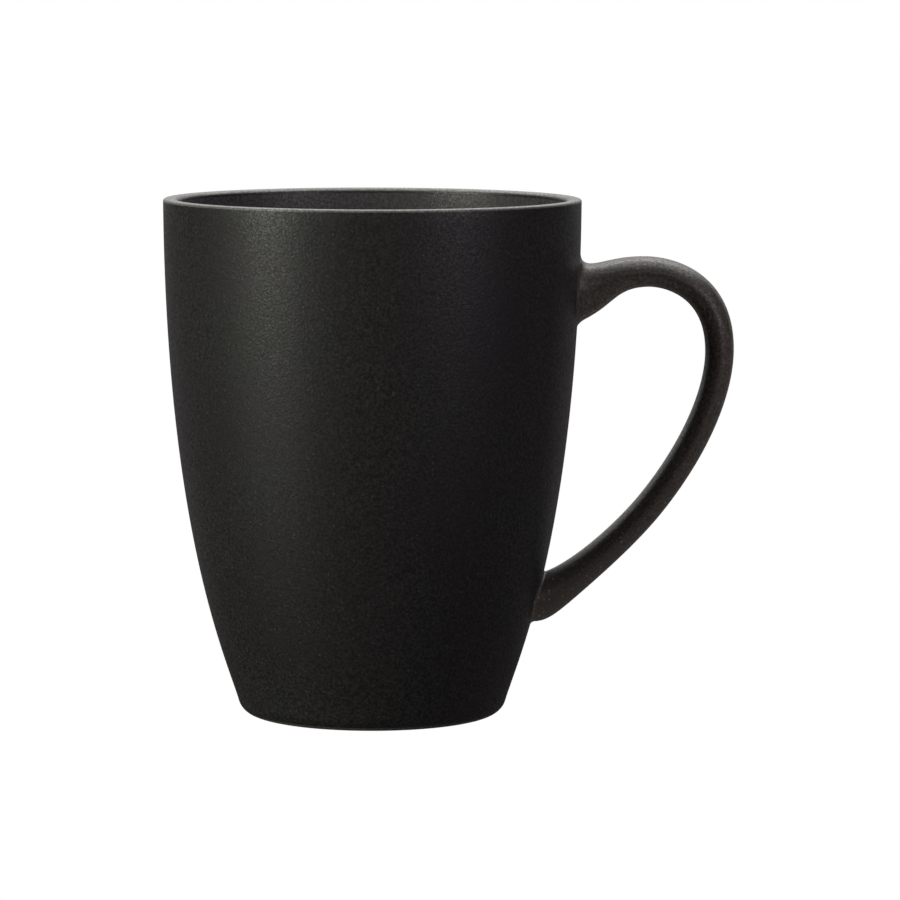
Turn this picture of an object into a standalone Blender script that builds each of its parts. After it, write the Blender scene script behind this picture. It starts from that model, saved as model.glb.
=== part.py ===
"""A tapered stoneware mug with a tall loop handle.

The cup is turned as one wall with a floor and a foot ring. The handle is cast on its own and
held to the cup by two thin pads of clay slip, one at each root. The mug stands on Z = 0 with
its handle towards +X, and is the same on both sides of the plane Y = 0. The origin is the
middle of the mug's whole length and width, so the cup's own axis stands a little towards -X:
everything hangs from an empty on that axis, and is modelled around it.
"""

import math

import bmesh
import bpy
from mathutils import Vector
from mathutils.geometry import interpolate_bezier

MM = 0.001

# Cup: the outer wall leans in slowly under the rim and faster towards the foot.
CUP_HEIGHT = 110.7 * MM
RIM_RADIUS = 44.6 * MM
RIM_LEAN = math.radians(0.4)
RIM_PULL = 0.664
FOOT_RADIUS = 28.75 * MM
FOOT_LEAN = math.radians(16.0)
FOOT_PULL = 0.083
FOOT_CORNER = 3.9 * MM

# Cup: the wall is thinnest at its lip, which is level with both its edges rounded.
LIP_THICKNESS = 3.1 * MM
LIP_OUTER_ROUND = 0.9 * MM
LIP_INNER_ROUND = 1.1 * MM
FLOOR_HEIGHT = 5.6 * MM
WELL_RADIUS = 27.3 * MM
WELL_CORNER = 8.0 * MM

# Foot ring: a flat ring to stand on, around a shallow hollow.
RING_INNER_RADIUS = 21.2 * MM
RING_STEP = 1.1 * MM
HOLLOW_CROWN = 0.4 * MM

# Handle: knots of its centre line, out from the cup's axis and up from the foot.
# Each has its direction of travel and how far it pulls the line before and after it.
HANDLE_KNOTS = (
    # out, up, direction (degrees), pull before, pull after
    (44.0 * MM, 91.6 * MM, -1.2, 0.0 * MM, 4.9 * MM),  # upper root
    (58.7 * MM, 95.2 * MM, 0.0, 7.9 * MM, 4.7 * MM),  # crown
    (74.25 * MM, 78.3 * MM, -90.0, 14.2 * MM, 8.7 * MM),  # furthest out
    (60.0 * MM, 45.6 * MM, -128.2, 15.2 * MM, 11.8 * MM),  # long slope
    (35.3 * MM, 25.1 * MM, -178.3, 3.7 * MM, 0.0 * MM),  # lower root
)
STEPS_PER_SPAN = 11
ROOT_DEPTH = 2.4 * MM

# Handle: an oval section, thicker and a little wider where it spreads onto the cup.
HANDLE_THICKNESS = 6.0 * MM
HANDLE_WIDTH = 11.4 * MM
UPPER_SPREAD = 8.9 * MM
UPPER_SPREAD_LENGTH = 4.8 * MM
LOWER_SPREAD = 4.5 * MM
LOWER_SPREAD_LENGTH = 7.3 * MM
WIDTH_SPREAD = 2.0 * MM
CROWN_SWELL = 0.35 * MM
CROWN_SWELL_AT = 27.7 * MM
CROWN_SWELL_LENGTH = 12.0 * MM
OVAL_SQUARENESS = 2.3
OVAL_SIDES = 28

# Slip pads: the thin skins of clay between the handle's ends and the cup.
SLIP_THICKNESS = 1.0 * MM
SLIP_OVERHANG = 0.35 * MM
SLIP_REACH = 5.0 * MM
GAP = 0.3 * MM

TURNED_STEPS = 64
OUTER_WALL_STEPS = 18
INNER_WALL_STEPS = 14
FOOT_CORNER_STEPS = 7
WELL_CORNER_STEPS = 8
LIP_ROUND_STEPS = 5
RING_STEP_STEPS = 5
MERGE_DISTANCE = 0.01 * MM
SMOOTH_ANGLE = math.radians(35.0)

GLAZE = (0.012, 0.0125, 0.0105, 1.0)
GLAZE_ROUGHNESS = 0.62


def clear_scene():
    """Remove every object, so that the script can be run again."""
    for old in list(bpy.data.objects):
        bpy.data.objects.remove(old, do_unlink=True)


def new_collection(name):
    """Make a collection under the scene's own."""
    made = bpy.data.collections.new(name)
    bpy.context.scene.collection.children.link(made)
    return made


def make_material(name, colour, roughness):
    """Make a plain glazed-clay material."""
    material = bpy.data.materials.new(name)
    material.use_nodes = True
    shader = material.node_tree.nodes["Principled BSDF"]
    shader.inputs["Base Color"].default_value = colour
    shader.inputs["Roughness"].default_value = roughness
    shader.inputs["Metallic"].default_value = 0.0
    material.diffuse_color = colour
    return material


def place(name, mesh, collection, axis):
    """Put a mesh in a collection, under the empty on the cup's axis."""
    made = bpy.data.objects.new(name, mesh)
    collection.objects.link(made)
    made.parent = axis
    return made


def bezier_points(start, start_pull, end_pull, end, steps):
    """The points of one cubic curve, both ends among them, as (out, up) pairs."""
    corners = [Vector((out, up, 0.0)) for out, up in (start, start_pull, end_pull, end)]
    return [(point.x, point.y) for point in interpolate_bezier(*corners, steps)]


def arc_points(centre, radius, first, last, steps):
    """The points of an arc, both ends among them, from one angle to the other."""
    turn = (last - first) / (steps - 1)
    return [
        (
            centre[0] + radius * math.cos(first + turn * i),
            centre[1] + radius * math.sin(first + turn * i),
        )
        for i in range(steps)
    ]


def wall_line(top, foot_radius, corner, ground, wall_steps, corner_steps):
    """A cup wall from its top down to where its rounded corner meets the ground level."""
    corner_end = (
        foot_radius,
        ground + corner * (1.0 - math.sin(FOOT_LEAN)),
    )
    drop = top[1] - corner_end[1]
    top_pull = (
        top[0] - drop * RIM_PULL * math.sin(RIM_LEAN),
        top[1] - drop * RIM_PULL * math.cos(RIM_LEAN),
    )
    foot_pull = (
        corner_end[0] + drop * FOOT_PULL * math.sin(FOOT_LEAN),
        corner_end[1] + drop * FOOT_PULL * math.cos(FOOT_LEAN),
    )
    wall = bezier_points(top, top_pull, foot_pull, corner_end, wall_steps)
    corner_centre = (foot_radius - corner * math.cos(FOOT_LEAN), ground + corner)
    rounded = arc_points(
        corner_centre, corner, -FOOT_LEAN, -math.pi / 2, corner_steps
    )
    return wall + rounded[1:]


def outer_wall():
    """The cup's outer line, from under the lip down to the foot ring."""
    top = (RIM_RADIUS, CUP_HEIGHT - LIP_OUTER_ROUND)
    return wall_line(
        top, FOOT_RADIUS, FOOT_CORNER, 0.0, OUTER_WALL_STEPS, FOOT_CORNER_STEPS
    )


def inner_wall():
    """The cup's inner line, from under the lip down to the floor of the well."""
    top = (RIM_RADIUS - LIP_THICKNESS, CUP_HEIGHT - LIP_INNER_ROUND)
    return wall_line(
        top, WELL_RADIUS, WELL_CORNER, FLOOR_HEIGHT, INNER_WALL_STEPS, WELL_CORNER_STEPS
    )


def cup_profile():
    """The cup's half section: up the inside, over the lip, and down the outside."""
    inner_centre = (
        RIM_RADIUS - LIP_THICKNESS + LIP_INNER_ROUND,
        CUP_HEIGHT - LIP_INNER_ROUND,
    )
    outer_centre = (RIM_RADIUS - LIP_OUTER_ROUND, CUP_HEIGHT - LIP_OUTER_ROUND)
    upright = math.pi / 2
    lip = arc_points(inner_centre, LIP_INNER_ROUND, math.pi, upright, LIP_ROUND_STEPS)
    lip += arc_points(outer_centre, LIP_OUTER_ROUND, upright, 0.0, LIP_ROUND_STEPS)
    step_centre = (RING_INNER_RADIUS - RING_STEP, 0.0)
    step = arc_points(step_centre, RING_STEP, 0.0, upright, RING_STEP_STEPS)
    inside = [(0.0, FLOOR_HEIGHT)] + inner_wall()[::-1]
    underside = step + [(0.0, RING_STEP + HOLLOW_CROWN)]
    return inside + lip[1:-1] + outer_wall() + underside


def grown_wall(distance):
    """A closed half section that stands off the cup's outside by a set distance."""
    line = outer_wall()
    grown = []
    for i, (out, up) in enumerate(line):
        before = line[max(i - 1, 0)]
        after = line[min(i + 1, len(line) - 1)]
        along = Vector((after[0] - before[0], after[1] - before[1])).normalized()
        grown.append((out - along.y * distance, up + along.x * distance))
    top = (grown[0][0], CUP_HEIGHT + distance)
    lid = (0.0, top[1])
    base = (0.0, grown[-1][1])
    return [lid, top] + grown + [base]


def turned(name, profile, collection, axis):
    """Turn a half section into a solid around the cup's axis."""
    mesh = bpy.data.meshes.new(name)
    points = [(out, 0.0, up) for out, up in profile]
    edges = [(i, i + 1) for i in range(len(points) - 1)]
    mesh.from_pydata(points, edges, [])
    made = place(name, mesh, collection, axis)
    screw = made.modifiers.new("turn", "SCREW")
    screw.steps = TURNED_STEPS
    screw.render_steps = TURNED_STEPS
    screw.use_merge_vertices = True
    screw.merge_threshold = MERGE_DISTANCE
    screw.use_smooth_shade = True
    return made


def handle_stations():
    """The handle's centre line as (point, direction, length so far), root to root.

    It runs on a little way into the cup at each end, where the lengths pass its own ends.
    """
    points = []
    for start, end in zip(HANDLE_KNOTS, HANDLE_KNOTS[1:]):
        start_turn, end_turn = math.radians(start[2]), math.radians(end[2])
        start_pull = (
            start[0] + start[4] * math.cos(start_turn),
            start[1] + start[4] * math.sin(start_turn),
        )
        end_pull = (
            end[0] - end[3] * math.cos(end_turn),
            end[1] - end[3] * math.sin(end_turn),
        )
        span = bezier_points(start[:2], start_pull, end_pull, end[:2], STEPS_PER_SPAN)
        points += span if not points else span[1:]
    line = [Vector((out, 0.0, up)) for out, up in points]
    first, last = math.radians(HANDLE_KNOTS[0][2]), math.radians(HANDLE_KNOTS[-1][2])
    inwards = Vector((-math.cos(first), 0.0, -math.sin(first)))
    onwards = Vector((math.cos(last), 0.0, math.sin(last)))
    line = [line[0] + inwards * ROOT_DEPTH] + line + [line[-1] + onwards * ROOT_DEPTH]
    stations = []
    so_far = -ROOT_DEPTH
    for i, point in enumerate(line):
        before = line[max(i - 1, 0)]
        after = line[min(i + 1, len(line) - 1)]
        if i > 0:
            so_far += (point - before).length
        stations.append((point, (after - before).normalized(), so_far))
    return stations


def spread(distance, length):
    """How much of its root's spread the handle has at a distance from the cup's wall."""
    return math.exp(-max(distance, 0.0) / length)


def section_size(so_far, whole):
    """The handle's thickness and width at a length along it."""
    upper = spread(so_far, UPPER_SPREAD_LENGTH)
    lower = spread(whole - so_far, LOWER_SPREAD_LENGTH)
    swell = math.exp(-(((so_far - CROWN_SWELL_AT) / CROWN_SWELL_LENGTH) ** 2))
    thickness = (
        HANDLE_THICKNESS
        + UPPER_SPREAD * upper
        + LOWER_SPREAD * lower
        + CROWN_SWELL * swell
    )
    return thickness, HANDLE_WIDTH + WIDTH_SPREAD * (upper + lower)


def oval_ring(point, direction, thickness, width):
    """The points of one rounded section, square to the centre line."""
    outwards = Vector((-direction.z, 0.0, direction.x))
    sideways = Vector((0.0, 1.0, 0.0))
    ring = []
    for i in range(OVAL_SIDES):
        angle = 2.0 * math.pi * i / OVAL_SIDES
        cos, sin = math.cos(angle), math.sin(angle)
        rise = math.copysign(abs(cos) ** (2.0 / OVAL_SQUARENESS), cos)
        side = math.copysign(abs(sin) ** (2.0 / OVAL_SQUARENESS), sin)
        ring.append(
            point + outwards * (rise * thickness / 2) + sideways * (side * width / 2)
        )
    return ring


def lofted(name, rings, collection, axis):
    """Skin a row of sections, which differ in size and in shape, into a closed solid."""
    shape = bmesh.new()
    loops = [[shape.verts.new(point) for point in ring] for ring in rings]
    for near, far in zip(loops, loops[1:]):
        for i in range(len(near)):
            j = (i + 1) % len(near)
            shape.faces.new((near[i], near[j], far[j], far[i]))
    shape.faces.new(loops[0])
    shape.faces.new(loops[-1])
    bmesh.ops.recalc_face_normals(shape, faces=shape.faces)
    mesh = bpy.data.meshes.new(name)
    shape.to_mesh(mesh)
    shape.free()
    mesh.shade_smooth()
    mesh.set_sharp_from_angle(angle=SMOOTH_ANGLE)
    return place(name, mesh, collection, axis)


def root_rings(stations, whole, overhang):
    """The handle's sections over a stretch of it, all grown by the same overhang."""
    rings = []
    for point, direction, so_far in stations:
        thickness, width = section_size(so_far, whole)
        rings.append(
            oval_ring(
                point, direction, thickness + 2 * overhang, width + 2 * overhang
            )
        )
    return rings


def combine(target, cutter, operation):
    """Add one exact Boolean to a part."""
    modifier = target.modifiers.new(cutter.name, "BOOLEAN")
    modifier.operation = operation
    modifier.solver = "EXACT"
    modifier.object = cutter


def cup_guide(name, distance, collection, axis):
    """A hidden solid that stands off the cup's outside, to cut the roots with."""
    guide = turned(name, grown_wall(distance), collection, axis)
    guide.hide_render = True
    guide.display_type = "WIRE"
    return guide


def build():
    """Build the mug's four pieces, and the hidden guides that trim them to one another."""
    clear_scene()
    parts = new_collection("stoneware_mug")
    guides = new_collection("guides")

    stations = handle_stations()
    whole = stations[-1][2] - ROOT_DEPTH
    handle_rings = root_rings(stations, whole, 0.0)
    handle_reach = max(point.x for ring in handle_rings for point in ring)

    axis = bpy.data.objects.new("cup_axis", None)
    axis.location.x = (RIM_RADIUS - handle_reach) / 2
    parts.objects.link(axis)

    cup = turned("mug_body", cup_profile(), parts, axis)
    cup.data.materials.append(make_material("body_glaze", GLAZE, GLAZE_ROUGHNESS))

    wall_side = cup_guide("cup_plus_gap", GAP, guides, axis)
    handle_side = cup_guide("cup_plus_slip", GAP + SLIP_THICKNESS, guides, axis)
    handle_end = cup_guide("cup_plus_joint", 2 * GAP + SLIP_THICKNESS, guides, axis)

    handle = lofted("handle", handle_rings, parts, axis)
    handle.data.materials.append(make_material("handle_glaze", GLAZE, GLAZE_ROUGHNESS))
    combine(handle, handle_end, "DIFFERENCE")

    near_upper_root = [s for s in stations if s[2] < SLIP_REACH]
    near_lower_root = [s for s in stations if s[2] > whole - SLIP_REACH]
    for name, stretch in (
        ("upper_slip_joint", near_upper_root),
        ("lower_slip_joint", near_lower_root),
    ):
        pad = lofted(name, root_rings(stretch, whole, SLIP_OVERHANG), parts, axis)
        pad.data.materials.append(make_material(name + "_glaze", GLAZE, GLAZE_ROUGHNESS))
        combine(pad, handle_side, "INTERSECT")
        combine(pad, wall_side, "DIFFERENCE")


build()
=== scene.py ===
"""A tapered stoneware mug in matte black glaze, in a small white studio.

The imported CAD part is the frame. Four finely modelled pieces stand for its four
solids: the turned cup, the loop handle, and the two small collars of clay slip that blend
the handle into the cup. Lengths are in metres, the mug stands on Z = 0, and its handle
points towards +X. Section points are pairs, out from the cup's axis and up from the foot.
"""

import logging
import math
from collections.abc import Callable, Sequence
from dataclasses import dataclass
from enum import Enum
from functools import cached_property
from itertools import pairwise

import bpy
from mathutils import Matrix, Vector
from mathutils.geometry import interpolate_bezier


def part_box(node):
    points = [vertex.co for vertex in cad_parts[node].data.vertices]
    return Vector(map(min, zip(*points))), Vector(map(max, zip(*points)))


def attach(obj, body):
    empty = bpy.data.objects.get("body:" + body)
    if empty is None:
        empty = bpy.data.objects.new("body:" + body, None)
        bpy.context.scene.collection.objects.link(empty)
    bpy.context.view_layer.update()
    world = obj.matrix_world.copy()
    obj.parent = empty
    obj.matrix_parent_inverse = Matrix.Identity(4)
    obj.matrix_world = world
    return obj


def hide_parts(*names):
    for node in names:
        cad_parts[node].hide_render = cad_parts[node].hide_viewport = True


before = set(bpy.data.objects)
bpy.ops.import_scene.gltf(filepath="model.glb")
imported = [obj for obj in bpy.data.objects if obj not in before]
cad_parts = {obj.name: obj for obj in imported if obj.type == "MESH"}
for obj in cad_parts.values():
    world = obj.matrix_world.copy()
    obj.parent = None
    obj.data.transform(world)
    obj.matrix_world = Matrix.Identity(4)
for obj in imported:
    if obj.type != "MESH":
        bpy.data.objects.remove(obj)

log = logging.getLogger("stoneware_mug")

MM = 0.001
UPRIGHT = math.pi / 2

Point = tuple[float, float]
Colour = tuple[float, float, float]


# --------------------------------------------------------------------------------------
# Working at the bench: selecting, editing and finishing a mesh
# --------------------------------------------------------------------------------------


def deselect_all() -> None:
    """Leave nothing selected, CAD nodes included."""
    for thing in bpy.context.selected_objects:
        thing.select_set(False)


def work_on(piece: bpy.types.Object) -> None:
    """Make one piece the only selected one, and the active one."""
    deselect_all()
    piece.select_set(True)
    bpy.context.view_layer.objects.active = piece


def start_editing() -> None:
    """Open the active piece in edit mode, with all of it selected."""
    bpy.ops.object.mode_set(mode="EDIT")
    bpy.ops.mesh.select_all(action="SELECT")


def stop_editing() -> None:
    """Go back to object mode."""
    bpy.ops.object.mode_set(mode="OBJECT")


def name_piece(name: str) -> bpy.types.Object:
    """Name the active object and its mesh.

    Args:
        name: The piece's plain name.

    Returns:
        The active object.
    """
    piece = bpy.context.active_object
    piece.name = name
    piece.data.name = name
    return piece


def select_vertices(piece: bpy.types.Object, wanted: Callable[[Vector], bool]) -> None:
    """Select the vertices whose place passes a test, and nothing else.

    Args:
        piece: The piece, active and in edit mode; it is left in edit mode.
        wanted: The test on a vertex's place.
    """
    bpy.ops.mesh.select_mode(type="VERT")
    bpy.ops.mesh.select_all(action="DESELECT")
    stop_editing()
    for vertex in piece.data.vertices:
        vertex.select = wanted(vertex.co)
    bpy.ops.object.mode_set(mode="EDIT")


def close_and_smooth(piece: bpy.types.Object, crease: float) -> None:
    """Merge doubles, turn every face outwards and shade smooth.

    Args:
        piece: The piece to finish, in object mode.
        crease: The angle, in radians, above which an edge stays sharp.
    """
    work_on(piece)
    start_editing()
    bpy.ops.mesh.remove_doubles(threshold=0.001 * MM)
    bpy.ops.mesh.normals_make_consistent(inside=False)
    stop_editing()
    bpy.ops.object.shade_smooth_by_angle(angle=crease)


# --------------------------------------------------------------------------------------
# Lines that the pieces are drawn from
# --------------------------------------------------------------------------------------


def curve_points(corners: Sequence[Point], steps: int) -> list[Point]:
    """The points of one cubic curve.

    Args:
        corners: Its start, the start's pull, the end's pull and its end.
        steps: How many points, both ends among them.

    Returns:
        The points, from the start to the end.
    """
    flat = [Vector((out, up, 0.0)) for out, up in corners]
    return [(point.x, point.y) for point in interpolate_bezier(*flat, steps)]


def arc_points(
    centre: Point, radius: float, first: float, last: float, steps: int
) -> list[Point]:
    """The points of an arc.

    Args:
        centre: The arc's centre.
        radius: Its radius.
        first: The angle it starts at, in radians.
        last: The angle it ends at.
        steps: How many points, both ends among them.

    Returns:
        The points, from the first angle to the last.
    """
    turn = (last - first) / (steps - 1)
    return [
        (
            centre[0] + radius * math.cos(first + turn * i),
            centre[1] + radius * math.sin(first + turn * i),
        )
        for i in range(steps)
    ]


@dataclass(frozen=True)
class WallLine:
    """One side of the cup's wall, from under its lip to its rounded corner.

    It leans in slowly under the rim and faster towards the foot.
    """

    top: Point
    foot_radius: float
    corner: float
    ground: float
    rim_lean: float = math.radians(0.4)
    rim_pull: float = 0.664
    foot_lean: float = math.radians(16.0)
    foot_pull: float = 0.083

    def points(self, wall_steps: int, corner_steps: int) -> list[Point]:
        """The line's points.

        Args:
            wall_steps: How many points the wall has.
            corner_steps: How many points the corner has.

        Returns:
            The points, from the top down to the ground level.
        """
        out, up = self.top
        foot_up = self.ground + self.corner * (1 - math.sin(self.foot_lean))
        foot = (self.foot_radius, foot_up)
        drop = up - foot[1]
        rim_arm, foot_arm = drop * self.rim_pull, drop * self.foot_pull
        corners = (
            self.top,
            (
                out - rim_arm * math.sin(self.rim_lean),
                up - rim_arm * math.cos(self.rim_lean),
            ),
            (
                foot[0] + foot_arm * math.sin(self.foot_lean),
                foot[1] + foot_arm * math.cos(self.foot_lean),
            ),
            foot,
        )
        centre = (
            self.foot_radius - self.corner * math.cos(self.foot_lean),
            self.ground + self.corner,
        )
        rounded = arc_points(
            centre, self.corner, -self.foot_lean, -math.pi / 2, corner_steps
        )
        return curve_points(corners, wall_steps) + rounded[1:]


# --------------------------------------------------------------------------------------
# The cup
# --------------------------------------------------------------------------------------


class Coat(Enum):
    """What covers each part of the cup, with its place among the cup's materials."""

    OUTSIDE = 0
    INSIDE = 1
    FOOT = 2
    LIP = 3


@dataclass(frozen=True)
class Cup:
    """The turned body: a tapering wall, a rounded lip, a floor and a foot ring."""

    axis_x: float
    height: float
    rim_radius: float
    lip_thickness: float = 3.1 * MM
    lip_outer_round: float = 0.55 * MM
    lip_inner_round: float = 1.1 * MM
    foot_radius: float = 28.75 * MM
    foot_corner: float = 3.9 * MM
    floor_height: float = 5.6 * MM
    well_radius: float = 27.3 * MM
    well_corner: float = 8.0 * MM
    ring_inner_radius: float = 21.2 * MM
    ring_step: float = 1.1 * MM
    hollow_crown: float = 0.4 * MM
    glaze_line: float = 1.0 * MM
    floor_margin: float = 0.56 * MM
    outer_steps: tuple[int, int] = (72, 14)
    inner_steps: tuple[int, int] = (48, 16)
    floor_steps: int = 8
    lip_steps: int = 10
    ring_steps: int = 7
    turned_steps: int = 288
    crease: float = math.radians(50.0)

    @cached_property
    def wall_line(self) -> list[Point]:
        """The outer wall's points, from the top down."""
        return self.outer_wall().points(*self.outer_steps)

    def outer_wall(self) -> WallLine:
        """The outer side of the wall."""
        top = (self.rim_radius, self.height - self.lip_outer_round)
        return WallLine(top, self.foot_radius, self.foot_corner, 0.0)

    def inner_wall(self) -> WallLine:
        """The side of the wall that faces the well."""
        top = (
            self.rim_radius - self.lip_thickness,
            self.height - self.lip_inner_round,
        )
        return WallLine(top, self.well_radius, self.well_corner, self.floor_height)

    def half_section(self) -> list[Point]:
        """The half section, up the inside, over the lip and down to the underside.

        Returns:
            The points, from the middle of the floor to the middle of the underside.
        """
        inner = self.inner_wall().points(*self.inner_steps)[::-1]
        floor = [
            (inner[0][0] * i / self.floor_steps, self.floor_height)
            for i in range(self.floor_steps)
        ]
        inner_centre = (
            self.rim_radius - self.lip_thickness + self.lip_inner_round,
            self.height - self.lip_inner_round,
        )
        outer_centre = (
            self.rim_radius - self.lip_outer_round,
            self.height - self.lip_outer_round,
        )
        lip = arc_points(
            inner_centre, self.lip_inner_round, math.pi, UPRIGHT, self.lip_steps
        )
        lip += arc_points(
            outer_centre, self.lip_outer_round, UPRIGHT, 0.0, self.lip_steps
        )
        outer = self.wall_line
        step_centre = (self.ring_inner_radius - self.ring_step, 0.0)
        step = arc_points(step_centre, self.ring_step, 0.0, UPRIGHT, self.ring_steps)
        crown = (0.0, self.ring_step + self.hollow_crown)
        pulls = ((self.ring_inner_radius / 2, crown[1]), (self.ring_step, crown[1]))
        hollow = curve_points((step[-1], *pulls, crown), self.floor_steps)
        return floor + inner + lip[1:-1] + outer + step + hollow[1:]

    def build(self) -> bpy.types.Object:
        """Draw the half section as a line of vertices, and spin it round the axis.

        Returns:
            The cup as one closed mesh.
        """
        section = [
            Vector((self.axis_x + out, 0.0, up)) for out, up in self.half_section()
        ]
        deselect_all()
        bpy.ops.mesh.primitive_plane_add(size=MM)
        cup = name_piece("stoneware_cup")
        start_editing()
        bpy.ops.mesh.merge(type="CENTER")
        bpy.ops.transform.translate(value=section[0])
        for before, after in pairwise(section):
            bpy.ops.mesh.extrude_region_move(
                TRANSFORM_OT_translate={"value": after - before}
            )
        bpy.ops.mesh.select_all(action="SELECT")
        bpy.ops.mesh.spin(
            steps=self.turned_steps,
            angle=math.tau,
            center=(self.axis_x, 0.0, 0.0),
            axis=(0.0, 0.0, 1.0),
        )
        stop_editing()
        close_and_smooth(cup, self.crease)
        return cup

    def dress(
        self,
        cup: bpy.types.Object,
        coats: dict[Coat, bpy.types.Material],
    ) -> None:
        """Glaze the cup outside, inside and over its lip, and leave the foot ring bare.
        The inside and lip coats are lighter copies of the outside glaze: painted light in
        the well and a painted highlight along the lip.

        Args:
            cup: The cup's mesh.
            coats: The material of each coat.
        """
        for coat in Coat:
            cup.data.materials.append(coats[coat])
        well_bottom = self.floor_height - self.floor_margin
        well_top = self.height - self.lip_inner_round
        for face in cup.data.polygons:
            middle = face.center
            out = math.hypot(middle.x - self.axis_x, middle.y)
            if middle.z > self.height - self.lip_outer_round:
                face.material_index = Coat.LIP.value
            elif middle.z < self.glaze_line and out > self.ring_inner_radius:
                face.material_index = Coat.FOOT.value
            elif (
                well_bottom < middle.z < well_top
                and out < self.wall_at(middle.z)[0] - self.lip_thickness / 2
            ):
                face.material_index = Coat.INSIDE.value

    def wall_at(self, up: float) -> tuple[float, float]:
        """Where the outer wall is at one height.

        Args:
            up: The height above the foot.

        Returns:
            The wall's distance from the cup's axis, and how fast it grows upwards.
        """
        for higher, lower in pairwise(self.wall_line):
            if up >= lower[1]:
                rise = higher[1] - lower[1]
                lean = (higher[0] - lower[0]) / rise
                return lower[0] + lean * (up - lower[1]), lean
        return self.wall_line[-1][0], 0.0

    def depth(self, place: Vector) -> float:
        """How far a place is outside the outer wall, or below zero when inside it."""
        out = math.hypot(place.x - self.axis_x, place.y)
        return out - self.wall_at(place.z)[0]

    def wall_normal(self, place: Vector) -> Vector:
        """The outer wall's outward direction beside a place."""
        away = Vector((place.x - self.axis_x, place.y, 0.0)).normalized()
        away.z = -self.wall_at(place.z)[1]
        return away.normalized()

    def seat(self, place: Vector, proud: float) -> Vector:
        """Move a place level, straight out from the axis, onto the outer wall.

        Args:
            place: The place.
            proud: How far off the wall it ends up.

        Returns:
            The place on the wall.
        """
        away = Vector((place.x - self.axis_x, place.y, 0.0)).normalized()
        out = self.wall_at(place.z)[0] + proud
        return Vector((self.axis_x + away.x * out, away.y * out, place.z))


# --------------------------------------------------------------------------------------
# The handle
# --------------------------------------------------------------------------------------


@dataclass(frozen=True)
class Knot:
    """A knot of the handle's centre line: its place, its direction and its pulls."""

    out: float
    up: float
    degrees: float
    pull_before: float
    pull_after: float

    @property
    def place(self) -> Point:
        """The knot's place."""
        return (self.out, self.up)

    def pulled(self, distance: float) -> Point:
        """The point at a signed distance from the knot along its direction."""
        turn = math.radians(self.degrees)
        return (
            self.out + distance * math.cos(turn),
            self.up + distance * math.sin(turn),
        )


@dataclass(frozen=True)
class Station:
    """One section of the handle: its centre, its slope and its size."""

    centre: Vector
    slope: float
    thickness: float
    width: float

    def surface(self, across: float, aside: float) -> Vector:
        """A place on this section's outline.

        Args:
            across: Its share of the thickness, away from the finger gap.
            aside: Its share of the width, towards +Y.

        Returns:
            The place.
        """
        rise = across * self.thickness
        return self.centre + Vector(
            (
                -math.sin(self.slope) * rise,
                aside * self.width,
                math.cos(self.slope) * rise,
            )
        )

    def towards(self, other: "Station", share: float) -> "Station":
        """The section that lies a share of the way from this one to another."""
        return Station(
            self.centre.lerp(other.centre, share),
            self.slope + (other.slope - self.slope) * share,
            self.thickness + (other.thickness - self.thickness) * share,
            self.width + (other.width - self.width) * share,
        )


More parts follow.
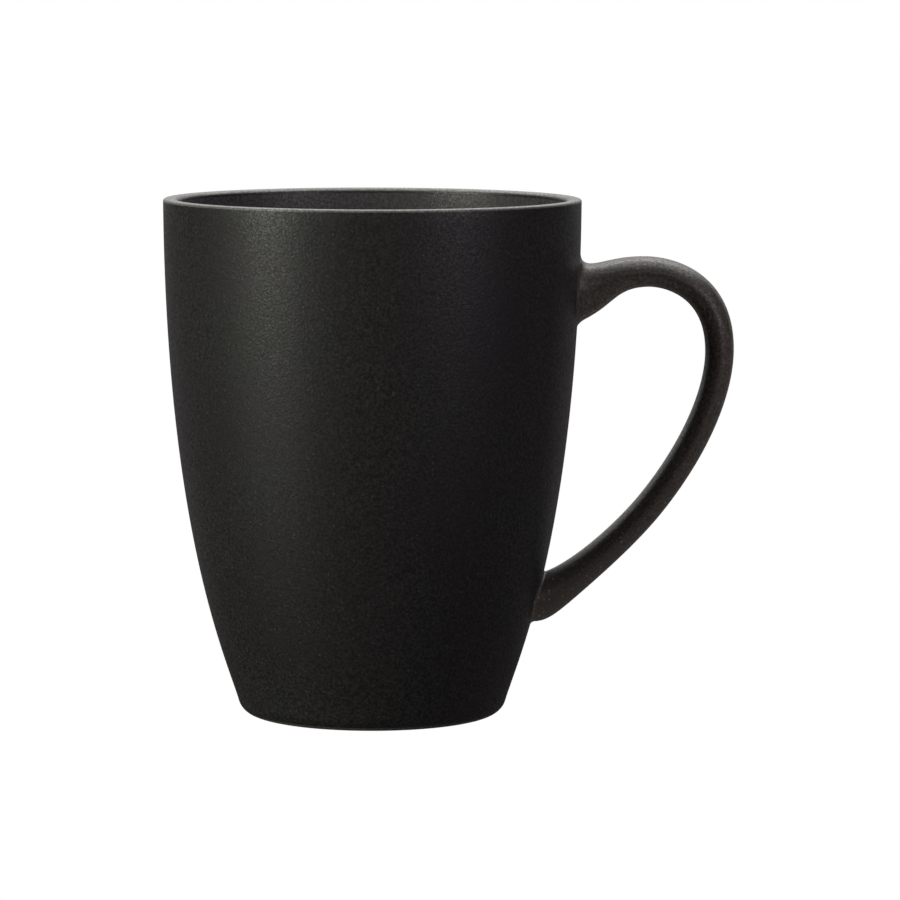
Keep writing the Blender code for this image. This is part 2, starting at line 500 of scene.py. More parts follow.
@dataclass(frozen=True)
class Handle:
    """The loop handle: an oval section swept from its upper root to its lower one."""

    axis_x: float
    knots: tuple[Knot, ...] = (
        Knot(44.0 * MM, 91.6 * MM, -1.2, 0.0, 4.9 * MM),
        Knot(58.7 * MM, 95.2 * MM, 0.0, 7.9 * MM, 4.7 * MM),
        Knot(74.25 * MM, 78.3 * MM, -90.0, 14.2 * MM, 8.7 * MM),
        Knot(60.0 * MM, 45.6 * MM, -128.2, 15.2 * MM, 11.8 * MM),
        Knot(35.3 * MM, 25.1 * MM, -178.3, 3.7 * MM, 0.0),
    )
    steps_per_span: int = 36
    root_depth: float = 1.6 * MM
    thickness: float = 6.0 * MM
    width: float = 11.4 * MM
    upper_spread: float = 8.9 * MM
    upper_spread_length: float = 4.8 * MM
    lower_spread: float = 4.5 * MM
    lower_spread_length: float = 7.3 * MM
    width_spread: float = 2.0 * MM
    crown_swell: float = 0.35 * MM
    crown_swell_at: float = 27.7 * MM
    crown_swell_length: float = 12.0 * MM
    side_cuts: int = 23
    smoothing: int = 8
    roundness: float = 0.8
    ridge_height: float = 0.03
    ridge_spread: float = 0.34
    crease: float = math.radians(60.0)

    def line(self) -> list[Point]:
        """The centre line's points, from wall to wall."""
        points: list[Point] = []
        for start, end in pairwise(self.knots):
            corners = (
                start.place,
                start.pulled(start.pull_after),
                end.pulled(-end.pull_before),
                end.place,
            )
            points += curve_points(corners, self.steps_per_span)[1 if points else 0 :]
        return points

    def size_at(self, length: float, whole: float) -> tuple[float, float]:
        """The handle's thickness and width at a length along it.

        Args:
            length: The distance along the centre line from the upper root.
            whole: The centre line's whole length, from wall to wall.

        Returns:
            The thickness across the loop, and the width from side to side.
        """
        upper = math.exp(-max(length, 0.0) / self.upper_spread_length)
        lower = math.exp(-max(whole - length, 0.0) / self.lower_spread_length)
        from_crown = (length - self.crown_swell_at) / self.crown_swell_length
        thickness = (
            self.thickness
            + self.upper_spread * upper
            + self.lower_spread * lower
            + self.crown_swell * math.exp(-(from_crown**2))
        )
        return thickness, self.width + self.width_spread * (upper + lower)

    def stations(self) -> list[Station]:
        """The sections from end to end, a little way inside the wall at both roots."""
        start, end = self.knots[0], self.knots[-1]
        line = (
            [start.pulled(-self.root_depth)]
            + self.line()
            + [end.pulled(self.root_depth)]
        )
        lengths = [-self.root_depth]
        for before, after in pairwise(line):
            lengths.append(lengths[-1] + math.dist(before, after))
        whole = lengths[-1] - self.root_depth
        made = []
        for i, ((out, up), length) in enumerate(zip(line, lengths)):
            before, after = line[max(i - 1, 0)], line[min(i + 1, len(line) - 1)]
            slope = math.atan2(after[1] - before[1], after[0] - before[0])
            centre = Vector((self.axis_x + out, 0.0, up))
            made.append(Station(centre, slope, *self.size_at(length, whole)))
        return made

    def add_oval(self) -> bpy.types.Object:
        """Make the section's outline, one metre across, flat on the ground.

        Returns:
            The outline's object, active and in edit mode, all of it selected.
        """
        deselect_all()
        bpy.ops.mesh.primitive_plane_add(size=1.0)
        outline = name_piece("loop_handle")
        start_editing()
        bpy.ops.mesh.delete(type="ONLY_FACE")
        bpy.ops.mesh.select_all(action="SELECT")
        bpy.ops.mesh.subdivide(number_cuts=self.side_cuts)
        bpy.ops.mesh.select_all(action="SELECT")
        bpy.ops.transform.tosphere(value=self.roundness)
        bpy.ops.mesh.vertices_smooth(factor=0.5, repeat=self.smoothing)
        stop_editing()
        across = max(vertex.co.x for vertex in outline.data.vertices)
        start_editing()
        bpy.ops.transform.resize(
            value=(0.5 / across, 0.5 / across, 1.0), center_override=(0.0, 0.0, 0.0)
        )
        for side in (-1.0, 1.0):
            select_vertices(
                outline, lambda place: abs(place.x) < 0.01 and place.y * side > 0.0
            )
            bpy.ops.transform.translate(
                value=(0.0, side * self.ridge_height, 0.0),
                use_proportional_edit=True,
                proportional_edit_falloff="LINEAR",
                proportional_size=self.ridge_spread,
            )
        bpy.ops.mesh.select_all(action="SELECT")
        return outline

    def build(self) -> bpy.types.Object:
        """Extrude the oval from station to station, and cap both ends.

        Returns:
            The handle as one closed mesh.
        """
        handle = self.add_oval()
        stations = self.stations()
        first = stations[0]
        middle = Vector((0.0, 0.0, 0.0))
        bpy.ops.mesh.edge_face_add()
        self.size_section(middle, first.thickness, first.width)
        self.turn_section(middle, first.slope + UPRIGHT)
        bpy.ops.transform.translate(value=first.centre)
        for before, after in pairwise(stations):
            bpy.ops.mesh.extrude_region_move(
                TRANSFORM_OT_translate={"value": after.centre - before.centre}
            )
            self.turn_section(after.centre, -(before.slope + UPRIGHT))
            self.size_section(
                after.centre,
                after.thickness / before.thickness,
                after.width / before.width,
            )
            self.turn_section(after.centre, after.slope + UPRIGHT)
        stop_editing()
        close_and_smooth(handle, self.crease)
        return handle

    @staticmethod
    def size_section(centre: Vector, thicker: float, wider: float) -> None:
        """Scale the selected section, lying flat, about its centre.

        Args:
            centre: The section's centre.
            thicker: What its thickness is multiplied by.
            wider: What its width is multiplied by.
        """
        bpy.ops.transform.resize(value=(thicker, wider, 1.0), center_override=centre)

    @staticmethod
    def turn_section(centre: Vector, angle: float) -> None:
        """Turn the selected section about its centre, from side to side of the mug."""
        bpy.ops.transform.rotate(value=angle, orient_axis="Y", center_override=centre)


# --------------------------------------------------------------------------------------
# The slip collars
# --------------------------------------------------------------------------------------


@dataclass(frozen=True)
class SlipCollar:
    """The small concave collar of slip that blends one root of the handle into the cup.

    Its rings start from the handle's own oval, and each of their vertices is then seated
    in code, because the collar has to meet two curved skins at once: it leaves the
    handle's skin and arrives on the cup's without an edge.
    """

    name: str
    cup: Cup
    handle: Handle
    stretch: tuple[Station, ...]
    along_handle: float
    over_wall: float
    rings: int = 10
    sunk: float = 0.02 * MM
    rooted: float = 0.6 * MM
    wall_search: float = 8.0 * MM
    halvings: int = 24
    crease: float = math.radians(70.0)

    def section_at(self, length: float) -> Station:
        """The handle's section at a distance along the stretch from the wall's inside."""
        walked = 0.0
        for near, far in pairwise(self.stretch):
            step = (far.centre - near.centre).length
            if walked + step >= length:
                return near.towards(far, (length - walked) / step)
            walked += step
        return self.stretch[-1]

    def length_at_wall(self, across: float, aside: float) -> float:
        """How far along the stretch a line of the handle's skin leaves the wall.

        Args:
            across: The line's share of the thickness.
            aside: Its share of the width.

        Returns:
            The distance along the stretch.
        """
        inside, outside = 0.0, self.wall_search
        for _ in range(self.halvings):
            middle = (inside + outside) / 2
            if self.cup.depth(self.section_at(middle).surface(across, aside)) < 0.0:
                inside = middle
            else:
                outside = middle
        return (inside + outside) / 2

    def spine(self, across: float, aside: float) -> list[Vector]:
        """The places of one vertex of each ring, from the handle's inside to the wall's.

        Args:
            across: The vertex's share of the handle's thickness.
            aside: Its share of the width.

        Returns:
            One place for each ring, and one more within each skin.
        """
        at_wall = self.length_at_wall(across, aside)
        corner_section = self.section_at(at_wall)
        corner = corner_section.surface(across, aside)
        start_section = self.section_at(at_wall + self.along_handle)
        start = start_section.surface(across, aside)
        inwards = (start_section.centre - start).normalized()
        normal = self.cup.wall_normal(corner)
        away = (corner - corner_section.centre).normalized()
        away = (away - normal * away.dot(normal)).normalized()
        end = self.cup.seat(corner + away * self.over_wall, 0.0)
        places = [start + inwards * self.rooted]
        for i in range(self.rings):
            share = i / (self.rings - 1)
            blend = (
                start * (1 - share) ** 2
                + corner * (2 * share * (1 - share))
                + end * share**2
            )
            hold = inwards * (1 - share) - normal * share
            places.append(blend + hold * (self.sunk * abs(2 * share - 1) ** 4))
        return places + [end - normal * self.rooted - away * self.over_wall]

    def build(self) -> bpy.types.Object:
        """Extrude the oval once for each ring, and seat every ring.

        Returns:
            The collar as one closed mesh.
        """
        self.handle.add_oval()
        collar = name_piece(self.name)
        bpy.ops.mesh.edge_face_add()
        for _ in range(self.rings + 1):
            bpy.ops.mesh.extrude_region_move(
                TRANSFORM_OT_translate={"value": (0.0, 0.0, 1.0)}
            )
        stop_editing()
        spines: dict[tuple[float, float], list[Vector]] = {}
        for vertex in collar.data.vertices:
            share = (round(vertex.co.x, 5), round(vertex.co.y, 5))
            if share not in spines:
                spines[share] = self.spine(*share)
            vertex.co = spines[share][round(vertex.co.z)]
        close_and_smooth(collar, self.crease)
        return collar


# --------------------------------------------------------------------------------------
# Finishes
# --------------------------------------------------------------------------------------


# A Mix node's colour sockets, which share their names with its other kinds of socket
MIX_SHARE, MIX_FIRST, MIX_SECOND, MIX_RESULT = 0, 6, 7, 2

BUMPS_PER_GRAIN = 1.3
SAND_PER_GRAIN = 0.7


class Slot(Enum):
    """The record's material slots."""

    BODY = "matte_glaze"
    JOINT = "slip_joint_glaze"


class Socket(Enum):
    """The kinds of socket that a shader group has."""

    NUMBER = "NodeSocketFloat"
    VECTOR = "NodeSocketVector"


class GroupMaker:
    """A shader node group under construction."""

    def __init__(
        self, name: str, inputs: dict[str, Socket], outputs: dict[str, Socket]
    ) -> None:
        """Make the group and its sockets.

        Args:
            name: The group's name.
            inputs: The names and kinds of its inputs.
            outputs: The names and kinds of its outputs.
        """
        self.tree = bpy.data.node_groups.new(name, "ShaderNodeTree")
        for label, kind in inputs.items():
            self.tree.interface.new_socket(
                label, in_out="INPUT", socket_type=kind.value
            )
        for label, kind in outputs.items():
            self.tree.interface.new_socket(
                label, in_out="OUTPUT", socket_type=kind.value
            )
        self.given = self.tree.nodes.new("NodeGroupInput").outputs
        self.result = self.tree.nodes.new("NodeGroupOutput").inputs

    def node(self, kind: str, **settings: object) -> bpy.types.Node:
        """Add a node and set its properties."""
        return add_node(self.tree, kind, **settings)

    def join(
        self, source: bpy.types.NodeSocket, target: bpy.types.NodeSocket
    ) -> None:
        """Link one socket to another."""
        self.tree.links.new(source, target)


def add_node(
    tree: bpy.types.NodeTree, kind: str, **settings: object
) -> bpy.types.Node:
    """Add a node to a tree.

    Args:
        tree: The tree.
        kind: The node's type.
        settings: The node's properties, by name.

    Returns:
        The new node.
    """
    made = tree.nodes.new(kind)
    for label, value in settings.items():
        setattr(made, label, value)
    return made


def sandy_grain_group() -> bpy.types.NodeTree:
    """The fine sandy grain of the glaze: low bumps, a play of tone, and paler sand.

    Returns:
        The group, with a Height, a Shade and a Speck mask as outputs.
    """
    group = GroupMaker(
        "sandy_grain",
        {"Vector": Socket.VECTOR, "Grain Scale": Socket.NUMBER},
        {
            "Height": Socket.NUMBER,
            "Shade": Socket.NUMBER,
            "Speck": Socket.NUMBER,
        },
    )
    bumps = group.node("ShaderNodeTexNoise")
    bumps.inputs["Detail"].default_value = 1.5
    bumps.inputs["Roughness"].default_value = 0.6
    bump_scale = group.node("ShaderNodeMath", operation="MULTIPLY")
    bump_scale.inputs[1].default_value = BUMPS_PER_GRAIN
    group.join(group.given["Grain Scale"], bump_scale.inputs[0])
    group.join(group.given["Vector"], bumps.inputs["Vector"])
    group.join(bump_scale.outputs["Value"], bumps.inputs["Scale"])
    group.join(bumps.outputs["Fac"], group.result["Height"])

    tone = group.node("ShaderNodeSeparateColor")
    group.join(bumps.outputs["Color"], tone.inputs["Color"])
    shade = group.node("ShaderNodeMapRange", interpolation_type="SMOOTHSTEP")
    shade.inputs["From Min"].default_value = 0.33
    shade.inputs["From Max"].default_value = 0.67
    group.join(tone.outputs["Green"], shade.inputs["Value"])
    group.join(shade.outputs["Result"], group.result["Shade"])

    sand_scale = group.node("ShaderNodeMath", operation="MULTIPLY")
    sand_scale.inputs[1].default_value = SAND_PER_GRAIN
    group.join(group.given["Grain Scale"], sand_scale.inputs[0])
    sand = group.node("ShaderNodeTexVoronoi", feature="F1")
    group.join(group.given["Vector"], sand.inputs["Vector"])
    group.join(sand_scale.outputs["Value"], sand.inputs["Scale"])
    speck = group.node("ShaderNodeMapRange", interpolation_type="SMOOTHSTEP")
    speck.inputs["From Min"].default_value = 0.30
    speck.inputs["From Max"].default_value = 0.08
    group.join(sand.outputs["Distance"], speck.inputs["Value"])
    chosen = group.node("ShaderNodeSeparateColor")
    group.join(sand.outputs["Color"], chosen.inputs["Color"])
    rare = group.node("ShaderNodeMapRange")
    rare.inputs["From Min"].default_value = 0.25
    rare.inputs["From Max"].default_value = 1.0
    group.join(chosen.outputs["Red"], rare.inputs["Value"])
    shown = group.node("ShaderNodeMath", operation="MULTIPLY")
    group.join(speck.outputs["Result"], shown.inputs[0])
    group.join(rare.outputs["Result"], shown.inputs[1])
    group.join(shown.outputs["Value"], group.result["Speck"])
    return group.tree


def kiln_mottle_group() -> bpy.types.NodeTree:
    """The slow, cloudy change of tone over a fired glaze.

    Returns:
        The group, with a Cloud mask from 0 to 1 as output.
    """
    group = GroupMaker(
        "kiln_mottle",
        {"Vector": Socket.VECTOR, "Cloud Scale": Socket.NUMBER},
        {"Cloud": Socket.NUMBER},
    )
    cloud = group.node("ShaderNodeTexNoise")
    cloud.inputs["Detail"].default_value = 2.0
    cloud.inputs["Roughness"].default_value = 0.5
    group.join(group.given["Vector"], cloud.inputs["Vector"])
    group.join(group.given["Cloud Scale"], cloud.inputs["Scale"])
    spread = group.node("ShaderNodeMapRange")
    spread.inputs["From Min"].default_value = 0.35
    spread.inputs["From Max"].default_value = 0.65
    group.join(cloud.outputs["Fac"], spread.inputs["Value"])
    group.join(spread.outputs["Result"], group.result["Cloud"])
    return group.tree


@dataclass(frozen=True)
class MatteGlaze:
    """A matte glaze with a sandy grain, over clay."""

    name: str
    dark: Colour
    light: Colour
    cloud: Colour
    speck: Colour
    roughness: float
    # A darker colour mixed in more and more from the top height down to the bottom
    # height, so the glaze grows darker towards the bottom
    lower_colour: Colour | None = None
    darkening_top: float = 70.0 * MM
    darkening_bottom: float = 22.0 * MM
    darkening_share: float = 0.7
    cloud_share: float = 0.35
    speck_share: float = 0.6
    grain_size: float = 0.72 * MM
    grain_height: float = 0.06 * MM
    roughness_play: float = 0.08
    cloud_size: float = 26.0 * MM

    def make(self, groups: dict[str, bpy.types.NodeTree]) -> bpy.types.Material:
        """Make the glaze's material.

        Args:
            groups: The shared effect groups, by name.

        Returns:
            The material.
        """
        material = bpy.data.materials.new(self.name)
        material.use_nodes = True
        tree = material.node_tree
        shader = tree.nodes["Principled BSDF"]
        place = add_node(tree, "ShaderNodeTexCoord").outputs["Object"]

        grain = add_node(
            tree, "ShaderNodeGroup", node_tree=groups["sandy_grain"], label="Grain"
        )
        grain.inputs["Grain Scale"].default_value = 1.0 / self.grain_size
        tree.links.new(place, grain.inputs["Vector"])
        mottle = add_node(
            tree, "ShaderNodeGroup", node_tree=groups["kiln_mottle"], label="Mottle"
        )
        mottle.inputs["Cloud Scale"].default_value = 1.0 / self.cloud_size
        tree.links.new(place, mottle.inputs["Vector"])

        shaded = mix_colours(tree, self.dark, self.light, grain.outputs["Shade"])
        cloud = scaled(tree, mottle.outputs["Cloud"], self.cloud_share)
        clouded = mix_colours(tree, shaded, self.cloud, cloud)
        # Darker towards the bottom, between two heights
        if self.lower_colour:
            height = add_node(tree, "ShaderNodeSeparateXYZ")
            tree.links.new(place, height.inputs["Vector"])
            low_share = add_node(tree, "ShaderNodeMapRange")
            low_share.inputs["From Min"].default_value = self.darkening_top
            low_share.inputs["From Max"].default_value = self.darkening_bottom
            low_share.inputs["To Max"].default_value = self.darkening_share
            tree.links.new(height.outputs["Z"], low_share.inputs["Value"])
            clouded = mix_colours(tree, clouded, self.lower_colour, low_share.outputs["Result"])
        speck = scaled(tree, grain.outputs["Speck"], self.speck_share)
        speckled = mix_colours(tree, clouded, self.speck, speck)
        tree.links.new(speckled, shader.inputs["Base Color"])

        worn = add_node(tree, "ShaderNodeMapRange")
        worn.inputs["To Min"].default_value = self.roughness + self.roughness_play
        worn.inputs["To Max"].default_value = self.roughness - self.roughness_play
        tree.links.new(grain.outputs["Shade"], worn.inputs["Value"])
        tree.links.new(worn.outputs["Result"], shader.inputs["Roughness"])

        bump = add_node(tree, "ShaderNodeBump")
        bump.inputs["Distance"].default_value = self.grain_height
        tree.links.new(grain.outputs["Height"], bump.inputs["Height"])
        tree.links.new(bump.outputs["Normal"], shader.inputs["Normal"])
        return material


def mix_colours(
    tree: bpy.types.NodeTree,
    first: Colour | bpy.types.NodeSocket,
    second: Colour | bpy.types.NodeSocket,
    share: bpy.types.NodeSocket,
) -> bpy.types.NodeSocket:
    """Mix two colours by a mask.

    Args:
        tree: The material's tree.
        first: The colour where the mask is 0.
        second: The colour where the mask is 1.
        share: The mask.

    Returns:
        The mixed colour's socket.
    """
    mixer = add_node(tree, "ShaderNodeMix", data_type="RGBA")
    tree.links.new(share, mixer.inputs[MIX_SHARE])
    sides = ((mixer.inputs[MIX_FIRST], first), (mixer.inputs[MIX_SECOND], second))
    for socket, colour in sides:
        if isinstance(colour, tuple):
            socket.default_value = (*colour, 1.0)
        else:
            tree.links.new(colour, socket)
    return mixer.outputs[MIX_RESULT]


def scaled(
    tree: bpy.types.NodeTree, mask: bpy.types.NodeSocket, strength: float
) -> bpy.types.NodeSocket:
    """Weaken a mask.

    Args:
        tree: The material's tree.
        mask: The mask.
        strength: What it is multiplied by.

    Returns:
        The weaker mask's socket.
    """
    multiply = add_node(tree, "ShaderNodeMath", operation="MULTIPLY")
    multiply.inputs[1].default_value = strength
    tree.links.new(mask, multiply.inputs[0])
    return multiply.outputs["Value"]


BODY_GLAZE = MatteGlaze(
    "body_glaze",
    dark=(0.0015, 0.0015, 0.0015),
    light=(0.030, 0.0303, 0.0268),
    cloud=(0.0135, 0.010, 0.0145),
    speck=(0.085, 0.086, 0.078),
    roughness=0.44,
)
# The handle's glaze is the cup's black glaze made about twice as light and warmer:
# painted light, standing in for the warm light the handle catches from below and the
# right
HANDLE_GLAZE_PAINTED_LIGHT = MatteGlaze(
    "handle_glaze",
    dark=(0.010, 0.0086, 0.0075),
    light=(0.063, 0.055, 0.047),
    cloud=(0.030, 0.0255, 0.0235),
    speck=(0.19, 0.18, 0.17),
    roughness=0.44,
    lower_colour=(0.018, 0.0158, 0.0144),
)
# The collars' glaze is a mid-tone between the cup's glaze and the lighter handle glaze:
# it grades the handle's painted light into the cup
SLIP_GLAZE_PAINTED_LIGHT = MatteGlaze(
    "slip_glaze_painted_light",
    dark=(0.006, 0.0055, 0.005),
    light=(0.044, 0.039, 0.035),
    cloud=(0.022, 0.018, 0.019),
    speck=(0.12, 0.115, 0.11),
    roughness=0.46,
)
# The inside is the same black glaze as the outside, made more than twice as light:
# painted light in the well
WELL_GLAZE_PAINTED_LIGHT = MatteGlaze(
    "well_glaze_painted_light",
    dark=(0.020, 0.0193, 0.0193),
    light=(0.076, 0.072, 0.072),
    cloud=(0.058, 0.053, 0.057),
    speck=(0.11, 0.11, 0.105),
    roughness=0.44,
)
# The lip's coat is the black glaze made several times lighter: a painted highlight along
# the lip
LIP_PAINTED_HIGHLIGHT = MatteGlaze(
    "lip_painted_highlight",
    dark=(0.055, 0.055, 0.053),
    light=(0.13, 0.13, 0.124),
    cloud=(0.10, 0.10, 0.096),
    speck=(0.2, 0.2, 0.19),
    roughness=0.44,
)
BARE_CLAY = MatteGlaze(
    "bare_clay",
    dark=(0.10, 0.082, 0.066),
    light=(0.20, 0.17, 0.14),
    cloud=(0.15, 0.12, 0.095),
    speck=(0.30, 0.27, 0.23),
    roughness=0.85,
)


# --------------------------------------------------------------------------------------
# The studio
# --------------------------------------------------------------------------------------


@dataclass(frozen=True)
class SoftLight:
    """A rectangular softbox that looks at the mug."""

    name: str
    place: tuple[float, float, float]
    size: tuple[float, float]
    watts: float
    colour: Colour
    target: tuple[float, float, float] = (0.0, 0.0, 0.055)
    only_on: tuple[str, ...] = ()
    shaded_by: tuple[str, ...] = ()

    def hang(self) -> None:
        """Hang the light, and flag it off all but its own pieces if it has any."""
        lamp = bpy.data.lights.new(self.name, "AREA")
        lamp.shape = "RECTANGLE"
        lamp.size, lamp.size_y = self.size
        lamp.energy = self.watts
        lamp.color = self.colour
        holder = bpy.data.objects.new(self.name, lamp)
        holder.location = self.place
        aim = Vector(self.target) - Vector(self.place)
        holder.rotation_euler = aim.to_track_quat("-Z", "Y").to_euler()
        holder.visible_camera = False
        bpy.context.scene.collection.objects.link(holder)
        if self.only_on:
            linking = holder.light_linking
            linking.receiver_collection = gather(f"{self.name}_on", self.only_on)
            linking.blocker_collection = gather(
                f"{self.name}_shade", self.only_on + self.shaded_by
            )


def gather(name: str, pieces: Sequence[str]) -> bpy.types.Collection:
    """Put pieces into a new collection, which stays outside the scene.

    Args:
        name: The collection's name.
        pieces: The pieces' names.

    Returns:
        The collection.
    """
    group = bpy.data.collections.new(name)
    for piece in pieces:
        group.objects.link(bpy.data.objects[piece])
    return group


@dataclass(frozen=True)
class Studio:
    """The white sweep, the lights and the camera."""

    lights: tuple[SoftLight, ...]
    camera_place: tuple[float, float, float] = (0.3 * MM, -1.0, 164.98 * MM)
    camera_target: tuple[float, float, float] = (0.3 * MM, 0.0, 56.75 * MM)
    camera_roll: float = 0.0025
    lens: float = 187.62
    floor_size: float = 8.0
    floor_drop: float = 0.05 * MM
    bounce_tint: Colour = (1.0, 0.93, 0.98)
    floor_bounce: float = 0.07
    sweep_bounce: float = 0.14
    sweep_start: float = 0.02
    sweep_end: float = 0.12
    glow_tilt: float = math.radians(18.0)
    glow_edge: float = 0.72
    glow_full: float = 0.98
    glow_strength: float = 0.85

    def set_camera(self) -> None:
        """Stand the camera in front of the mug and a little above its rim."""
        lens = bpy.data.cameras.new("portrait_camera")
        lens.lens = self.lens
        lens.sensor_width = 36.0
        camera = bpy.data.objects.new("portrait_camera", lens)
        camera.location = self.camera_place
        aim = Vector(self.camera_target) - Vector(self.camera_place)
        turn = aim.to_track_quat("-Z", "Y").to_matrix().to_4x4()
        roll = Matrix.Rotation(self.camera_roll, 4, "Z")
        camera.rotation_euler = (turn @ roll).to_euler()
        bpy.context.scene.collection.objects.link(camera)
        bpy.context.scene.camera = camera

    def lay_floor(self) -> None:
        """Lay the white floor under the mug: plain white to the camera, and for the mug a
        dim glowing bounce light, brighter behind it.
        """
        deselect_all()
        bpy.ops.mesh.primitive_plane_add(size=self.floor_size)
        floor = name_piece("studio_floor")
        start_editing()
        bpy.ops.transform.translate(value=(0.0, 0.0, -self.floor_drop))
        stop_editing()
        material = bpy.data.materials.new("white_sweep")
        material.use_nodes = True
        tree = material.node_tree
        tree.nodes.remove(tree.nodes["Principled BSDF"])
        seen = add_node(tree, "ShaderNodeEmission")
        seen.inputs["Color"].default_value = (1.0, 1.0, 1.0, 1.0)
        cast = add_node(tree, "ShaderNodeEmission")
        cast.inputs["Color"].default_value = (*self.bounce_tint, 1.0)
        place = add_node(tree, "ShaderNodeTexCoord").outputs["Object"]
        split = add_node(tree, "ShaderNodeSeparateXYZ")
        tree.links.new(place, split.inputs["Vector"])
        behind = add_node(tree, "ShaderNodeMapRange", interpolation_type="SMOOTHSTEP")
        behind.inputs["From Min"].default_value = self.sweep_start
        behind.inputs["From Max"].default_value = self.sweep_end
        behind.inputs["To Min"].default_value = self.floor_bounce
        behind.inputs["To Max"].default_value = self.sweep_bounce
        tree.links.new(split.outputs["Y"], behind.inputs["Value"])
        tree.links.new(behind.outputs["Result"], cast.inputs["Strength"])
        ray = add_node(tree, "ShaderNodeLightPath")
        choice = add_node(tree, "ShaderNodeMixShader")
        tree.links.new(ray.outputs["Is Camera Ray"], choice.inputs["Fac"])
        tree.links.new(cast.outputs["Emission"], choice.inputs[1])
        tree.links.new(seen.outputs["Emission"], choice.inputs[2])
        output = tree.nodes["Material Output"]
        tree.links.new(choice.outputs["Shader"], output.inputs["Surface"])
        floor.data.materials.append(material)

    def light_world(self) -> None:
        """Make the room white to the camera, and bright only behind for the mug."""
        world = bpy.data.worlds.new("studio_room")
        world.use_nodes = True
        bpy.context.scene.world = world
        tree = world.node_tree
        tree.nodes.clear()
        place = add_node(tree, "ShaderNodeTexCoord").outputs["Generated"]
        facing = add_node(tree, "ShaderNodeVectorMath", operation="DOT_PRODUCT")
        facing.inputs[1].default_value = (
            0.0,
            math.cos(self.glow_tilt),
            math.sin(self.glow_tilt),
        )
        tree.links.new(place, facing.inputs[0])
        behind = add_node(tree, "ShaderNodeMapRange", interpolation_type="SMOOTHSTEP")
        behind.inputs["From Min"].default_value = self.glow_edge
        behind.inputs["From Max"].default_value = self.glow_full
        behind.inputs["To Max"].default_value = self.glow_strength
        tree.links.new(facing.outputs["Value"], behind.inputs["Value"])
        cast = add_node(tree, "ShaderNodeBackground")
        tree.links.new(behind.outputs["Result"], cast.inputs["Strength"])
        seen = add_node(tree, "ShaderNodeBackground")
        seen.inputs["Color"].default_value = (1.0, 1.0, 1.0, 1.0)
        cast.inputs["Color"].default_value = (1.0, 1.0, 1.0, 1.0)
        ray = add_node(tree, "ShaderNodeLightPath")
        choice = add_node(tree, "ShaderNodeMixShader")
        output = add_node(tree, "ShaderNodeOutputWorld")
        tree.links.new(ray.outputs["Is Camera Ray"], choice.inputs["Fac"])
        tree.links.new(cast.outputs["Background"], choice.inputs[1])
        tree.links.new(seen.outputs["Background"], choice.inputs[2])
        tree.links.new(choice.outputs["Shader"], output.inputs["Surface"])

    def build(self) -> None:
        """Set up the whole studio."""
        self.lay_floor()
        self.light_world()
        for light in self.lights:
            light.hang()
        self.set_camera()
        bpy.context.scene.view_settings.view_transform = "Standard"


HANDLE_PIECES = ("loop_handle", "upper_root_collar", "lower_root_collar")

# The two key lights are flagged off the handle, whose inner side stays dark, and the
# low light beside the handle reaches nothing else
LIGHTS = (
    SoftLight(
        "key_softbox",
        (-1.0, -0.55, 0.7),
        (0.25, 0.4),
        5.5,
        (1.0, 1.0, 0.88),
        only_on=("stoneware_cup",),
        shaded_by=("loop_handle",),
    ),
    SoftLight(
        "low_key_strip",
        (-1.0, -0.65, 0.28),
        (0.2, 0.9),
        6.0,
        (1.0, 1.0, 0.9),
        only_on=("stoneware_cup",),
        shaded_by=("loop_handle",),
    ),
    SoftLight(
        "top_softbox",
        (0.0, 0.32, 0.62),
        (0.9, 0.9),
        7.8,
        (1.0, 0.99, 0.97),
        (0.0, 0.32, 0.0),
    ),
    SoftLight("right_fill", (0.9, -0.8, 0.45), (0.6, 0.6), 2.9, (1.0, 0.9, 1.0)),
    SoftLight("front_fill", (0.0, -1.2, 0.6), (0.8, 0.5), 0.8, (1.0, 0.9, 1.0)),
    SoftLight(
        "handle_uplight",
        (0.45, -0.3, -0.35),
        (0.7, 0.7),
        4.2,
        (1.0, 0.89, 0.78),
        (0.04, 0.0, 0.06),
        only_on=HANDLE_PIECES,
        shaded_by=("stoneware_cup",),
    ),
)


# How many of the handle's sections a collar may reach along
ROOT_SECTIONS = 40


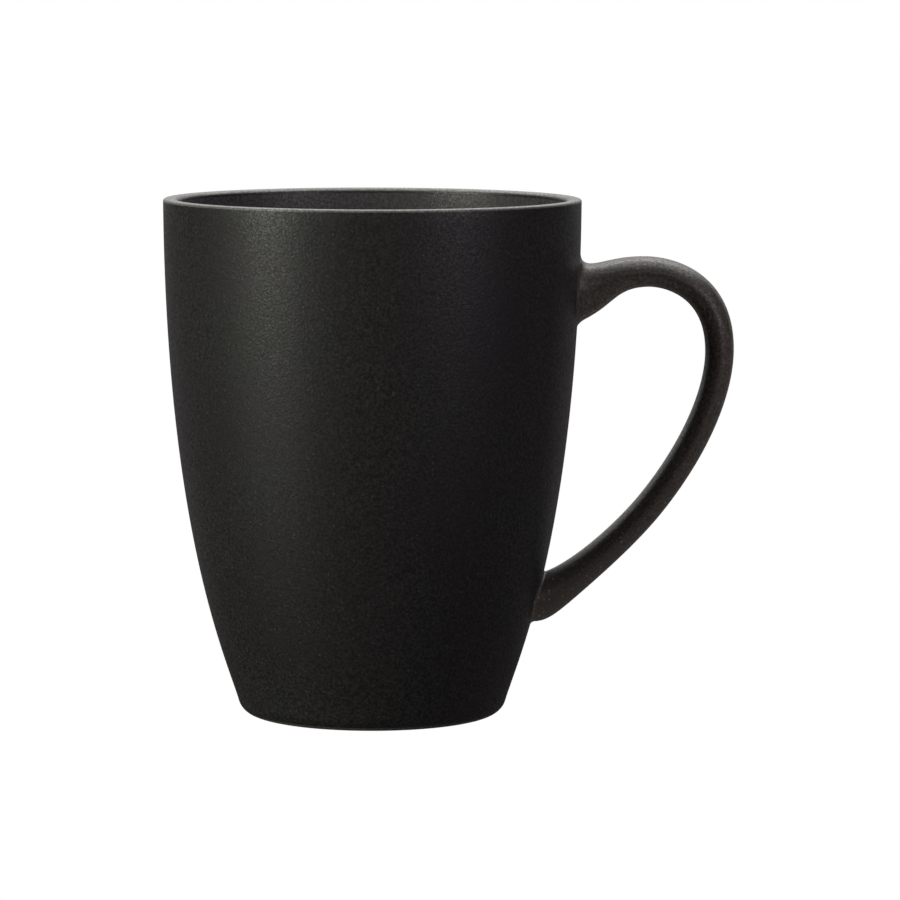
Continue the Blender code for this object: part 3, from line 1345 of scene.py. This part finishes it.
def add_piece(piece: bpy.types.Object, node: str) -> None:
    """Enter a dressed piece in the table in place of its CAD node.

    Args:
        piece: The piece.
        node: The CAD node it stands for.
    """
    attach(piece, "root")
    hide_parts(node)
    log.info("%s stands for %s, %d faces", piece.name, node, len(piece.data.polygons))


def main() -> None:
    """Build the mug's pieces, dress them, and set up the studio."""
    logging.basicConfig(level=logging.INFO, format="%(name)s: %(message)s")
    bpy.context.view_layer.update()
    low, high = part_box("mug_body")
    axis_x = (low[0] + high[0]) / 2
    cup = Cup(axis_x, high[2], (high[0] - low[0]) / 2)
    handle = Handle(axis_x)
    stations = handle.stations()
    upper = SlipCollar(
        "upper_root_collar",
        cup,
        handle,
        stretch=tuple(stations[:ROOT_SECTIONS]),
        along_handle=1.3 * MM,
        over_wall=1.0 * MM,
    )
    lower = SlipCollar(
        "lower_root_collar",
        cup,
        handle,
        stretch=tuple(stations[-1:-ROOT_SECTIONS:-1]),
        along_handle=1.0 * MM,
        over_wall=0.8 * MM,
    )

    groups = {tree.name: tree for tree in (sandy_grain_group(), kiln_mottle_group())}
    # The handle, collar, well and lip glazes are lighter copies of the cup's black glaze,
    # painted light; the foot ring is bare clay
    glaze, handle_painted_light, slip, well, lip, clay = (
        finish.make(groups)
        for finish in (
            BODY_GLAZE, HANDLE_GLAZE_PAINTED_LIGHT, SLIP_GLAZE_PAINTED_LIGHT, WELL_GLAZE_PAINTED_LIGHT, LIP_PAINTED_HIGHLIGHT, BARE_CLAY
        )
    )

    turned = cup.build()
    cup.dress(
        turned,
        {
            Coat.OUTSIDE: glaze,
            Coat.INSIDE: well,
            Coat.FOOT: clay,
            Coat.LIP: lip,
        },
    )
    add_piece(turned, "mug_body")
    for part, node, slot in (
        (handle, "handle", Slot.BODY),
        (upper, "upper_slip_joint", Slot.JOINT),
        (lower, "lower_slip_joint", Slot.JOINT),
    ):
        piece = part.build()
        piece.data.materials.append(handle_painted_light if slot is Slot.BODY else slip)
        add_piece(piece, node)

    Studio(LIGHTS).build()


if __name__ == "__main__":
    main()
